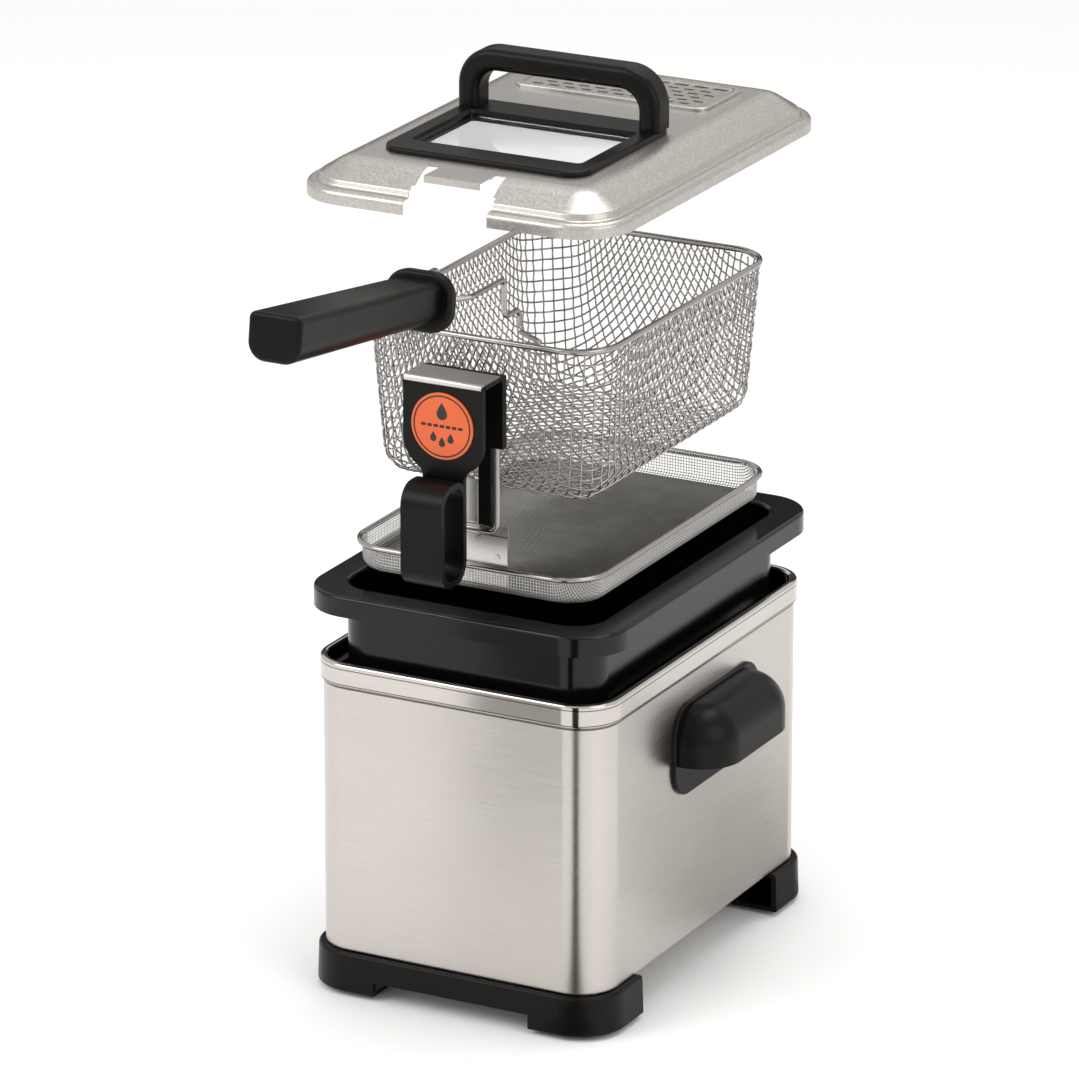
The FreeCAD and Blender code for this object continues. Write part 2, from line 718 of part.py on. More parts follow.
def grip_section(w, h, z):
    """Flat on top and on the sides, deeply rounded below."""
    x, y = w / 2, h / 2
    return run([(-x, -y, z, 13), (x, -y, z, 13), (x, y, z, 5), (-x, y, z, 5)], True)


def handle_grip():
    low = collar_t + 0.05
    body = Part.makeLoft([grip_section(37, 30, low), grip_section(40, 33, grip_l)], True, True)
    body = soften(body, 3, flat_at(grip_l))
    return tilted(body.cut(block(tenon + 0.4, 22.4, 6.2, 0, collar_t + 20.5)))


def lid_shell():
    """Pressed from one sheet: skirt, ledge on the bowl's flange, broad slope and plateau."""
    w, d = width + 2 * lid_over, depth + 2 * lid_over
    t = lid_t
    ledge = rim_top + flange_t + 0.4
    section = [(-t, skirt_z, 0), (0, skirt_z, 0), (0, ledge + t, 4), (-8, ledge + t, 2),
               (-9.4, ledge + 5.5, 2), (-28, lid_top, crest_r), (-36, lid_top, 0),
               (-36, lid_top - t, 0), (-28.2, lid_top - t, crest_r - t),
               (-10.3, ledge + 5.1, 2), (-8.8, ledge, 1.2), (-t, ledge, 3)]
    lid = around(section, w, d, lid_r).fuse(block(w - 69, d - 69, 4.5, lid_top - t, lid_top))
    y_mid = (glass_y0 + glass_y1) / 2
    inner, outer = rod_x - slot_half, rod_x + slot_half
    cuts = [block(glass_w + 6, glass_y1 - glass_y0 + 6, 4, 200, 300, y_mid),
            block(vent_w - 6, vent_d - 6, 4, 200, 300, vent_y),
            box(-inner, inner, -depth, slot_end_y - 6, 200, 300),
            box(-lever_half - 1.5, lever_half + 1.5, -depth, -158, 200, 260.5)]
    for s in (-1, 1):
        x0, x1 = sorted((s * (inner - 0.2), s * outer))
        cuts.append(box(x0, x1, -depth, slot_end_y, 200, 300))
        cuts.append(rod(s * handle_x, handle_y, 200, 2.2, 100))
    lid = drill(lid, cuts)
    tongue = box(-inner, inner, tongue_y, slot_end_y, lid_top - t, lid_top)
    lip = box(-inner, inner, tongue_y, tongue_y + t, lid_top - 5, lid_top)
    return lid.fuse([tongue, lip]).removeSplitter()


def window_frame():
    cy = (frame_y0 + frame_y1) / 2
    gy, w, d = (glass_y0 + glass_y1) / 2, glass_w, glass_y1 - glass_y0
    low, top = lid_top + 0.05, lid_top + frame_h
    body = soften(block(frame_w, frame_y1 - frame_y0, frame_r, low, top, cy), 2.5, flat_at(top))
    hole = block(w, d, 3, low - 1, top + 1, gy)
    bevel = frustum((w, d, 3, top - 2, gy), (w + 6, d + 6, 5, top + 1, gy))
    body = body.cut(hole).cut(bevel)
    return drill(body, [rod(s * handle_x, handle_y, low - 1, 2.2, 20) for s in (-1, 1)])


def window_glass():
    gy = (glass_y0 + glass_y1) / 2
    return block(glass_w + 5, glass_y1 - glass_y0 + 5, 3.5, lid_top - 4, lid_top, gy)


def window_gasket():
    gy = (glass_y0 + glass_y1) / 2
    w, d = glass_w, glass_y1 - glass_y0
    body = block(w + 12, d + 12, 6, lid_top - 6, lid_top - 4.05, gy)
    return body.cut(block(w - 4, d - 4, 3, lid_top - 7, lid_top, gy))


def lid_handle():
    low, top, half = lid_top + frame_h + 0.1, lid_top + handle_h, handle_half
    y0, y1 = handle_y - 11, handle_y + 11
    arches = []
    for t, r in ((0.0, 28), (16.0, 15)):
        side = run([(t - half, y0, low, 0), (half - t, y0, low, 0), (half - t, y0, top - t, r),
                    (t - half, y0, top - t, r)], True)
        arches.append(Part.Face(side).extrude(V(0, y1 - y0, 0)))
    bar = arches[0].cut(arches[1])
    bar = soften(bar, 5, lambda e: e.BoundBox.ZMax > low + 1 and e.BoundBox.YLength < 0.01)
    return drill(bar, [rod(s * handle_x, handle_y, low - 1, 2.1, 14) for s in (-1, 1)])


def lid_screws():
    z = lid_top - lid_t
    x, y = handle_x, handle_y
    return Part.makeCompound([rod(s * x, y, z - 2.4, 4, 2.4).fuse(rod(s * x, y, z, 2, 17)) for s in (-1, 1)])


def vent_grille():
    """Flat grille with a raised border, one row of long slots and five rows of short ones."""
    low, top = lid_top + 0.05, lid_top + 1.0
    plate = block(vent_w, vent_d, 9, low, top + 1.4, vent_y)
    plate = soften(plate, 1.1, flat_at(top + 1.4))
    plate = plate.cut(block(vent_w - 8, vent_d - 8, 6, top, top + 3, vent_y))
    slots = [block(11.5, 3.4, 1.6, low - 1, top + 1, vent_y + 23, -62 + 15.5 * i) for i in range(9)]
    for row in range(5):
        shift = 3.5 if row % 2 else -3.5
        y = vent_y + 13.5 - 8.5 * row
        slots += [block(8.2, 2.8, 1.3, low - 1, top + 1, y, shift - 58 + 12.9 * i) for i in range(10)]
    return drill(plate, slots)


def steam_filter():
    return block(vent_w - 7, vent_d - 7, 3.5, lid_top - 6, lid_top, vent_y)


save(outer_shell(), "outer_shell")
save(base_pan(), "base_pan")
save(foot_rail(True), "front_foot_rail")
save(foot_rail(False), "rear_foot_rail")
save(rubber_feet(), "rubber_feet")
save(foot_screws(), "foot_screws")
save(side_handle(), "side_handle_right")
save(mirrored(side_handle()), "side_handle_left")
save(handle_screws(), "side_handle_screws")
save(heat_shield(), "heat_shield")
save(shield_posts(), "shield_posts")
save(heater_plate(), "heater_plate")
save(heating_element(), "heating_element")
save(element_clamps(), "element_clamps")
save(thermostat_body(), "thermostat_body")
save(thermostat_sensor(), "thermostat_sensor")
save(thermal_cutout(), "thermal_cutout")
save(terminal_block(), "terminal_block")
save(control_panel(), "control_panel")
save(control_panel_screws(), "control_panel_screws")
save(pilot_lamp(), "pilot_lamp")
save(power_inlet(), "power_inlet")
save(thermostat_knob(), "thermostat_knob")
save(bowl(), "bowl", bowl_up)
save(filter_pan(), "filter_pan", filter_up)
save(filter_rim(), "filter_rim", filter_up)
save(filter_tab(), "filter_tab", filter_up)
save(filter_bracket(), "filter_bracket", filter_up)
save(bracket_rivets(), "bracket_rivets", filter_up)
save(lever_wire(), "lever_wire", filter_up)
save(lever_handle(), "lever_handle", filter_up)
save(lever_cap(), "lever_cap", filter_up)
save(lever_badge(), "lever_badge", filter_up)
basket_mesh()
save(basket_rim(), "basket_rim", basket_up)
save(handle_wires(), "handle_wires", basket_up)
save(handle_collar(), "handle_collar", basket_up)
save(handle_grip(), "handle_grip", basket_up)
save(lid_shell(), "lid_shell", lid_up)
save(window_frame(), "window_frame", lid_up)
save(window_glass(), "window_glass", lid_up)
save(window_gasket(), "window_gasket", lid_up)
save(lid_handle(), "lid_handle", lid_up)
save(lid_screws(), "lid_screws", lid_up)
save(vent_grille(), "vent_grille", lid_up)
save(steam_filter(), "steam_filter", lid_up)
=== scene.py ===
import json
import math
import bpy
import numpy as np
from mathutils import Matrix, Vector

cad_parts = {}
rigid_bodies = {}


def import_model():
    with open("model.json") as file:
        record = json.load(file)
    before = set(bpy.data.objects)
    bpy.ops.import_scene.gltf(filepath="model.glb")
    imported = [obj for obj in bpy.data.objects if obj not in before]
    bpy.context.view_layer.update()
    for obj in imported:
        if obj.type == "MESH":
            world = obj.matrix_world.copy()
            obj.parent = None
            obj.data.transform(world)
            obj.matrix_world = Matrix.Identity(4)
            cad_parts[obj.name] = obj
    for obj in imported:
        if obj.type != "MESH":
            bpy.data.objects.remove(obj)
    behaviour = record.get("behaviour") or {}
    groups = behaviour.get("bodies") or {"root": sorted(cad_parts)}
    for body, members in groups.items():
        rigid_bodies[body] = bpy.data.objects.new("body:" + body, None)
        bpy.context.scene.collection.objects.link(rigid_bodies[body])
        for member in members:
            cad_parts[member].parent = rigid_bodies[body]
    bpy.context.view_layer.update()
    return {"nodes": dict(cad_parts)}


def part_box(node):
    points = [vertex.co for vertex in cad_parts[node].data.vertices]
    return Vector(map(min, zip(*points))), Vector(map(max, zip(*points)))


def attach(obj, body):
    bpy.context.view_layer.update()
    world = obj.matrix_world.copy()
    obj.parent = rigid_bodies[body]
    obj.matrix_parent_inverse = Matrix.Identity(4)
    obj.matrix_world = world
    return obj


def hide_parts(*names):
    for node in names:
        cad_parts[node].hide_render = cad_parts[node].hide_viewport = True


for leftover in list(bpy.data.objects):
    bpy.data.objects.remove(leftover)
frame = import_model()
nodes = frame["nodes"]


# Stage: a pale paper floor, with soft boxes to the left, to the right and above. Cards that only
# reflections see stand close by, because bright steel needs something dark to mirror at its
# corners. A long lens looks from the photograph's angle.
def rgb(code):
    """An sRGB hex colour as the linear colour that shaders take."""
    parts = [int(code[i:i + 2], 16) / 255 for i in (1, 3, 5)]
    linear = [c / 12.92 if c <= 0.04045 else ((c + 0.055) / 1.055) ** 2.4 for c in parts]
    return linear + [1.0]


def blank(name):
    """A new material, with its node tree and its shader."""
    made = bpy.data.materials.new(name)
    made.use_nodes = True
    return made, made.node_tree, made.node_tree.nodes["Principled BSDF"]


# Matt paper takes a soft shadow and shows no shine.
floor_size, floor_drop = 30, 0.0005
bpy.ops.mesh.primitive_plane_add(size=floor_size, location=(0, 0, -floor_drop))
floor = bpy.context.object
floor.name = "floor"
paper, tree, shader = blank("white_paper")
shader.inputs["Base Color"].default_value = rgb("#FAFAF9")
shader.inputs["Roughness"].default_value = 0.9
shader.inputs["Specular IOR Level"].default_value = 0.1
floor.data.materials.append(paper)

# Each card's place, its turn in degrees, its width and height, and its tone. A foot lies on the
# floor, where the walls mirror it when they are seen from above.
card_black = "#1C1B1A"
cards = (
    ("card_corner", (0.158, -0.33, 0.21), (90, 0, 14), 0.085, 0.42, card_black),
    ("card_corner_foot", (0.128, -0.20, 0.001), (0, 0, 14), 0.068, 0.26, card_black),
    ("card_front", (-0.11, -0.42, 0.10), (90, 0, -28), 0.12, 0.20, "#B4B2B0"),
    ("card_right_foot", (0.245, 0.38, 0.001), (0, 0, -28), 0.13, 0.46, "#B6B4B2"),
    ("card_rear_corner", (-0.158, 0.536, 0.13), (90, 0, 14), 0.13, 0.26, card_black),
    ("card_rear_corner_foot", (-0.128, 0.406, 0.001), (0, 0, 14), 0.10, 0.26, card_black),
    ("card_back", (-1.25, 2.5, 0.85), (90, 0, 27.8), 3.0, 1.1, card_black))
for name, place, turn, wide, tall, tone in cards:
    bpy.ops.mesh.primitive_plane_add(size=1, location=place,
                                     rotation=[math.radians(a) for a in turn])
    card = bpy.context.object
    card.name = name
    card.scale = (wide, tall, 1)
    bpy.ops.object.transform_apply(location=False, rotation=True, scale=True)
    card.visible_camera = False
    card.visible_shadow = False
    card.visible_diffuse = False
    paint, tree, shader = blank(name + "_paint")
    shader.inputs["Base Color"].default_value = rgb(tone)
    shader.inputs["Roughness"].default_value = 0.9
    card.data.materials.append(paint)

world = bpy.data.worlds.new("studio")
bpy.context.scene.world = world
world.use_nodes = True
background = world.node_tree.nodes["Background"]
background.inputs["Color"].default_value = (1.0, 0.995, 0.99, 1)
background.inputs["Strength"].default_value = 0.85

# Each soft box's place, its aim, its width and its power in watts.
soft_boxes = (
    ("key", (-1.7, -2.2, 2.3), (0, 0.1, 0.3), 2.2, 38),
    ("right", (2.4, -0.7, 1.5), (0, 0.1, 0.3), 2.0, 14),
    ("top", (0.2, 0.6, 2.8), (0, 0.1, 0.4), 1.8, 26))
for name, place, aim, wide, power in soft_boxes:
    bpy.ops.object.light_add(type="AREA", location=place)
    lamp = bpy.context.object
    lamp.name = "light_" + name
    lamp.data.shape = "DISK"
    lamp.data.size = wide
    lamp.data.energy = power
    lamp.rotation_euler = (Vector(aim) - Vector(place)).to_track_quat("-Z", "Y").to_euler()

azimuth, elevation, distance = math.radians(27.8), math.radians(19.04), 5.111
aim_up, aim_right = 0.3047, -0.01625
focal_px, picture_px, sensor_mm = 7180, 1079, 36
shell_low, shell_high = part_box("outer_shell")
right = Vector((math.cos(azimuth), math.sin(azimuth), 0))
target = Vector((0, (shell_low[1] + shell_high[1]) / 2, aim_up)) + right * aim_right
level = math.cos(elevation)
away = Vector((math.sin(azimuth) * level, -math.cos(azimuth) * level, math.sin(elevation)))
bpy.ops.object.camera_add(location=target + away * distance)
camera = bpy.context.object
camera.rotation_euler = (-away).to_track_quat("-Z", "Y").to_euler()
camera.data.sensor_width = sensor_mm
camera.data.lens = focal_px * sensor_mm / picture_px
camera.data.clip_end = 100
bpy.context.scene.camera = camera
bpy.context.scene.view_settings.view_transform = "Standard"


# Housing wall: stainless sheet wrapped round four corners, rolled over at the rim and closed from
# below by the base pan. It is brushed along its length. Above the rolled groove it is polished.
def add(tree, kind, links=(), **values):
    """Adds a shader node, sets its sockets and properties, and links (socket, node, output) in."""
    made = tree.nodes.new("ShaderNode" + kind)
    for name, value in values.items():
        if name in made.bl_rna.properties:
            setattr(made, name, value)
        else:
            made.inputs[name.replace("_", " ")].default_value = value
    for socket, source, output in links:
        tree.links.new(source.outputs[output], made.inputs[socket])
    return made


def scale_of(mm):
    """The texture scale that draws a pattern of this size in millimetres."""
    return 1000 / mm


def dress(material, *names):
    """Gives the named pieces one material in place of their plain one."""
    for name in names:
        nodes[name].data.materials.clear()
        nodes[name].data.materials.append(material)


# Brushed stainless: level lines that smear each reflection upright. Such lines are usually about
# 0.1 mm wide and are drawn wider so that they show. At the groove's edges fine dark lines are
# painted shade, where the groove's shadow falls.
line_mm, line_length_mm, cloud_mm = 0.3846, 55.56, 111.1
painted_groove_lines = ((0.2306, 0.0006), (0.2338, 0.0004), (0.2452, 0.0004))  # height, half width
polished_above, polished_roughness = 0.2312, 0.15
steel, tree, shader = blank("stainless_brushed_sheet")
place = add(tree, "TexCoord")
stretch = add(tree, "Mapping", [("Vector", place, "Object")],
              Scale=(scale_of(line_length_mm), scale_of(line_length_mm), scale_of(line_mm)))
streak = add(tree, "TexNoise", [("Vector", stretch, "Vector")],
             Scale=1.0, Detail=3.0, Roughness=0.6)
cloud = add(tree, "TexNoise", [("Vector", place, "Object")], Scale=scale_of(cloud_mm), Detail=2.0)
gloss = add(tree, "MapRange", [("Value", streak, "Fac")],
            From_Min=0.3, From_Max=0.7, To_Min=0.26, To_Max=0.38)
tint = add(tree, "MixRGB", [("Fac", streak, "Fac")], Color1=rgb("#C1BCB7"), Color2=rgb("#DAD5D0"))
shade = add(tree, "MixRGB", [("Fac", cloud, "Fac"), ("Color1", tint, "Color")],
            blend_type="MULTIPLY", Color2=rgb("#F0EFEE"))
bump = add(tree, "Bump", [("Height", streak, "Fac")], Strength=0.035, Distance=0.0002)
grainline = add(tree, "Tangent", direction_type="RADIAL", axis="Z")
height = add(tree, "SeparateXYZ", [("Vector", place, "Object")])
# Painted shade: a thin line at each of the groove's heights, where the groove's shadow falls.
groove_shade_mask = None
for line_z, half in painted_groove_lines:
    line = add(tree, "Math", [(0, height, "Z")], operation="COMPARE")
    line.inputs[1].default_value = line_z
    line.inputs[2].default_value = half
    if groove_shade_mask is None:
        groove_shade_mask = line
    else:
        groove_shade_mask = add(tree, "Math", [(0, groove_shade_mask, 0), (1, line, 0)], operation="MAXIMUM")
# Painted shade: the dark grey covers the steel's own tone wherever a groove line lies.
groove_shaded = add(tree, "MixRGB", [("Fac", groove_shade_mask, 0), ("Color1", shade, "Color")],
            Color2=rgb("#6A6765"))
band = add(tree, "Math", [(0, height, "Z")], operation="GREATER_THAN")
band.inputs[1].default_value = polished_above
polish = add(tree, "Mix", [(0, band, 0), (2, gloss, "Result")])
polish.inputs[3].default_value = polished_roughness
tree.links.new(groove_shaded.outputs["Color"], shader.inputs["Base Color"])
tree.links.new(polish.outputs[0], shader.inputs["Roughness"])
tree.links.new(bump.outputs["Normal"], shader.inputs["Normal"])
tree.links.new(grainline.outputs["Tangent"], shader.inputs["Tangent"])
shader.inputs["Metallic"].default_value = 1.0
shader.inputs["Anisotropic"].default_value = 0.75
shader.inputs["Anisotropic Rotation"].default_value = 0.25
dress(steel, "outer_shell", "base_pan")


# Foot rails and side handles: moulded in black heatproof plastic and screwed on, the rails from
# below and the handles from inside the wall.
# Satin moulded plastic: a deep black with soft broad highlights and a fine mould grain.
grain_mm, patch_mm = 0.3846, 33.33
plastic, tree, shader = blank("black_moulded_plastic")
place = add(tree, "TexCoord")
grain = add(tree, "TexNoise", [("Vector", place, "Object")], Scale=scale_of(grain_mm), Detail=2.0)
patch = add(tree, "TexNoise", [("Vector", place, "Object")], Scale=scale_of(patch_mm), Detail=2.0)
gloss = add(tree, "MapRange", [("Value", patch, "Fac")], To_Min=0.29, To_Max=0.38)
tint = add(tree, "MixRGB", [("Fac", patch, "Fac")], Color1=rgb("#0A0807"), Color2=rgb("#0F0D0B"))
bump = add(tree, "Bump", [("Height", grain, "Fac")], Strength=0.1, Distance=0.0001)
tree.links.new(tint.outputs["Color"], shader.inputs["Base Color"])
tree.links.new(gloss.outputs["Result"], shader.inputs["Roughness"])
tree.links.new(bump.outputs["Normal"], shader.inputs["Normal"])
shader.inputs["Specular IOR Level"].default_value = 0.16
dress(plastic, "front_foot_rail", "rear_foot_rail", "side_handle_right", "side_handle_left")


# Pads under the rails: moulded rubber buttons, pressed into the rails so that the fryer doesn't
# slide on the worktop.
# Black rubber: dull and slightly grey, with hardly a highlight.
grain_mm = 1.111
rubber, tree, shader = blank("black_rubber")
place = add(tree, "TexCoord")
grain = add(tree, "TexNoise", [("Vector", place, "Object")], Scale=scale_of(grain_mm), Detail=3.0)
tint = add(tree, "MixRGB", [("Fac", grain, "Fac")], Color1=rgb("#141312"), Color2=rgb("#242221"))
tree.links.new(tint.outputs["Color"], shader.inputs["Base Color"])
shader.inputs["Roughness"].default_value = 0.75
dress(rubber, "rubber_feet")


# Screws, posts and rivets: turned and headed steel, zinc plated, that hold the rails, the handles,
# the shield, the rear panel, the filter's bracket and the lid's handle.
# Zinc plate: bright with a faint mottle of its crystals.
mottle_mm = 1.429
zinc, tree, shader = blank("zinc_plated_steel")
place = add(tree, "TexCoord")
mottle = add(tree, "TexNoise", [("Vector", place, "Object")],
             Scale=scale_of(mottle_mm), Detail=3.0)
gloss = add(tree, "MapRange", [("Value", mottle, "Fac")], To_Min=0.18, To_Max=0.42)
tree.links.new(gloss.outputs["Result"], shader.inputs["Roughness"])
shader.inputs["Base Color"].default_value = rgb("#C9C6C0")
shader.inputs["Metallic"].default_value = 1.0
dress(zinc, "foot_screws", "side_handle_screws", "shield_posts", "control_panel_screws",
      "bracket_rivets", "lid_screws")


# Heater plate and shield under the bowl: a cast aluminium plate that spreads the heat, and a
# folded aluminium shield on posts that keeps it off the base.
# Rolled aluminium: pale and half dull, with uneven gloss.
roll_mm = 3.333
alloy, tree, shader = blank("rolled_aluminium")
place = add(tree, "TexCoord")
rolled = add(tree, "TexNoise", [("Vector", place, "Object")], Scale=scale_of(roll_mm), Detail=4.0)
gloss = add(tree, "MapRange", [("Value", rolled, "Fac")], To_Min=0.3, To_Max=0.55)
tree.links.new(gloss.outputs["Result"], shader.inputs["Roughness"])
shader.inputs["Base Color"].default_value = rgb("#C4C3C0")
shader.inputs["Metallic"].default_value = 1.0
dress(alloy, "heat_shield", "heater_plate")


# Element, clamps and thermostat sensor: stainless tube bent to shape, and folded stainless strip
# that clamps it to the plate's underside.
# Stainless browned by heat: a dull warm grey with soft darker blooms.
bloom_mm = 20
browned, tree, shader = blank("heat_browned_stainless")
place = add(tree, "TexCoord")
bloom = add(tree, "TexNoise", [("Vector", place, "Object")], Scale=scale_of(bloom_mm), Detail=3.0)
tint = add(tree, "MixRGB", [("Fac", bloom, "Fac")], Color1=rgb("#7A7067"), Color2=rgb("#A39A8F"))
tree.links.new(tint.outputs["Color"], shader.inputs["Base Color"])
shader.inputs["Metallic"].default_value = 1.0
shader.inputs["Roughness"].default_value = 0.4
dress(browned, "heating_element", "element_clamps", "thermostat_sensor")


# Thermostat body, cut-out and terminal block: pressed and fired ceramic, clamped inside the
# housing behind the rear panel.
# Unglazed ceramic: off-white and chalky.
grit_mm = 2.5
ceramic, tree, shader = blank("moulded_ceramic")
place = add(tree, "TexCoord")
grit = add(tree, "TexNoise", [("Vector", place, "Object")], Scale=scale_of(grit_mm), Detail=3.0)
tint = add(tree, "MixRGB", [("Fac", grit, "Fac")], Color1=rgb("#DAD5CA"), Color2=rgb("#E8E4DB"))
tree.links.new(tint.outputs["Color"], shader.inputs["Base Color"])
shader.inputs["Roughness"].default_value = 0.6
dress(ceramic, "thermostat_body", "thermal_cutout", "terminal_block")


# Rear panel: moulded in the same black plastic and screwed to the housing. It carries the
# thermostat's knob, the mains inlet and the lens of the pilot lamp.
# Moulded red lens: clear gloss over small facets that break up the light.
facet_mm = 1.429
dress(plastic, "control_panel", "power_inlet", "thermostat_knob")
lens, tree, shader = blank("red_lens")
place = add(tree, "TexCoord")
facet = add(tree, "TexVoronoi", [("Vector", place, "Object")], Scale=scale_of(facet_mm))
bump = add(tree, "Bump", [("Height", facet, "Distance")], Strength=0.3, Distance=0.0003)
tree.links.new(bump.outputs["Normal"], shader.inputs["Normal"])
shader.inputs["Base Color"].default_value = rgb("#A8160F")
shader.inputs["Roughness"].default_value = 0.12
dress(lens, "pilot_lamp")


# Marks of the rear panel: a pointer line on the knob and ten ticks round it, pad printed in pale
# ink. The ticks start at the pointer's rest and follow the knob's turn.
# Pale pad print: off-white and half matt, a little uneven.
blot_mm = 1.111
ink, tree, shader = blank("pale_pad_print")
place = add(tree, "TexCoord")
worn = add(tree, "TexNoise", [("Vector", place, "Object")], Scale=scale_of(blot_mm), Detail=2.0)
tint = add(tree, "MixRGB", [("Fac", worn, "Fac")], Color1=rgb("#D8D6D2"), Color2=rgb("#F2F1EE"))
tree.links.new(tint.outputs["Color"], shader.inputs["Base Color"])
shader.inputs["Roughness"].default_value = 0.5
low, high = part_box("thermostat_knob")
knob_x, knob_z = (low[0] + high[0]) / 2, (low[2] + high[2]) / 2
knob_r, knob_y = (high[0] - low[0]) / 2, high[1]
panel_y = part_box("control_panel")[1][1]
ink_depth, ink_edge = 0.0003, 0.0001
pointer_wide, tick_wide = 0.0022, 0.0013
tick_from, tick_to = knob_r + 0.0025, knob_r + 0.0075
tick_steps, knob_turn = 9, math.radians(270)
marks = (
    ("knob_pointer", "knob", knob_y, knob_r * 0.35, knob_r * 0.86, pointer_wide),
    ("panel_ticks", "housing", panel_y, tick_from, tick_to, tick_wide))
for name, body, y, inner, outer, wide in marks:
    bpy.ops.object.select_all(action="DESELECT")
    bpy.ops.mesh.primitive_cube_add(size=1, location=(knob_x, y, knob_z + (inner + outer) / 2))
    mark = bpy.context.object
    mark.name = name
    mark.scale = (wide, ink_depth, outer - inner)
    bpy.ops.object.transform_apply(location=True, rotation=True, scale=True)
    bpy.ops.object.mode_set(mode="EDIT")
    bpy.ops.mesh.select_all(action="SELECT")
    bpy.ops.mesh.bevel(offset=ink_edge, segments=1)
    if name == "panel_ticks":
        # A positive spin runs against the joint's positive turn, so this one is negative.
        bpy.ops.mesh.select_all(action="SELECT")
        bpy.ops.mesh.spin(steps=tick_steps, dupli=True, angle=-knob_turn,
                          center=(knob_x, y, knob_z), axis=(0, 1, 0))
    bpy.ops.object.mode_set(mode="OBJECT")
    mark.data.materials.append(ink)
    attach(mark, body)


# Bowl: deep-drawn aluminium that hangs in the housing by its flange, coated inside and out with
# baked non-stick.
# Black non-stick: glossy, with the fine orange peel of a sprayed coat and broad uneven gloss.
peel_mm, patch_mm = 1.111, 71.43
coat, tree, shader = blank("black_nonstick_coating")
place = add(tree, "TexCoord")
peel = add(tree, "TexNoise", [("Vector", place, "Object")], Scale=scale_of(peel_mm), Detail=2.0)
patch = add(tree, "TexNoise", [("Vector", place, "Object")], Scale=scale_of(patch_mm), Detail=3.0)
gloss = add(tree, "MapRange", [("Value", patch, "Fac")], To_Min=0.11, To_Max=0.2)
bump = add(tree, "Bump", [("Height", peel, "Fac")], Strength=0.05, Distance=0.0002)
tree.links.new(gloss.outputs["Result"], shader.inputs["Roughness"])
tree.links.new(bump.outputs["Normal"], shader.inputs["Normal"])
shader.inputs["Base Color"].default_value = rgb("#0A0909")
shader.inputs["Specular IOR Level"].default_value = 0.32
dress(coat, "bowl")


# Filter pan: stainless gauze pressed into a shallow tray, with its wires along the tray's sides
# and its edge rolled into the rim wire. The real mesh is finer than the photograph can show. It is
# drawn with wire 0.66 mm thick at a pitch of 2.2 mm so that it shows.
low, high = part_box("filter_pan")
gauze_wire, gauze_pitch, gauze_edge = 0.00033, 0.0022, 0.0056
sheet, tray_corner, under_rim = 0.0004, 0.028, 0.001
gauze_sides, edge_points, edge_start, layer = 4, 26, 0.004, 0.7
pan_corner = tray_corner - sheet
pan_x = high[0] - sheet - pan_corner
pan_y = (high[1] - low[1]) / 2 - sheet - pan_corner
pan_mid = (low[1] + high[1]) / 2
pan_floor, pan_top = low[2] + sheet, high[2] - under_rim
pan_flat = pan_corner - gauze_edge
pan_reach = pan_flat + gauze_edge * math.pi / 2 + pan_top - pan_floor - gauze_edge


def pressed(s, flat, edge_r, lean):
    """Follows a pressed tub outwards: distance out, height, and how far the sheet has turned."""
    turned = math.pi / 2 - lean
    turn = np.clip((s - flat) / edge_r, 0, turned)
    wall = np.maximum(s - flat - edge_r * turned, 0)
    out = np.minimum(s, flat) + edge_r * np.sin(turn) + wall * math.sin(lean)
    return out, edge_r * (1 - np.cos(turn)) + wall * math.cos(lean), turn


def wire_mesh(name, wires, radius, sides):
    """One mesh of round wires, each given by its points and its sheet's normals there."""
    verts, faces = [], []
    spin = np.arange(sides)[None, :, None] * 2 * math.pi / sides
    for spot, normal in wires:
        along = np.gradient(spot, axis=0)
        side = np.cross(along, normal)
        side /= np.linalg.norm(side, axis=1)[:, None]
        normal = np.cross(side, along)
        normal /= np.linalg.norm(normal, axis=1)[:, None]
        round_off = np.cos(spin) * normal[:, None] + np.sin(spin) * side[:, None]
        first, last = len(verts), len(verts) + sides * (len(spot) - 1)
        verts += (spot[:, None] + radius * round_off).reshape(-1, 3).tolist()
        for ring in range(first, last, sides):
            for m in range(sides):
                beside = (m + 1) % sides
                faces.append((ring + m, ring + beside, ring + sides + beside, ring + sides + m))
        faces.append(tuple(first + m for m in reversed(range(sides))))
        faces.append(tuple(last + m for m in range(sides)))
    mesh = bpy.data.meshes.new(name)
    mesh.from_pydata(verts, [], faces)
    mesh.polygons.foreach_set("use_smooth", [True] * len(mesh.polygons))
    piece = bpy.data.objects.new(name, mesh)
    bpy.context.scene.collection.objects.link(piece)
    return piece


def unbroken(spot, normal, inside):
    """The stretches of a wire, three points long or more, that lie inside the sheet's edge."""
    kept = np.flatnonzero(inside)
    stretches = np.split(kept, np.flatnonzero(np.diff(kept) > 1) + 1)
    return [(spot[part], normal[part]) for part in stretches if len(part) > 2]


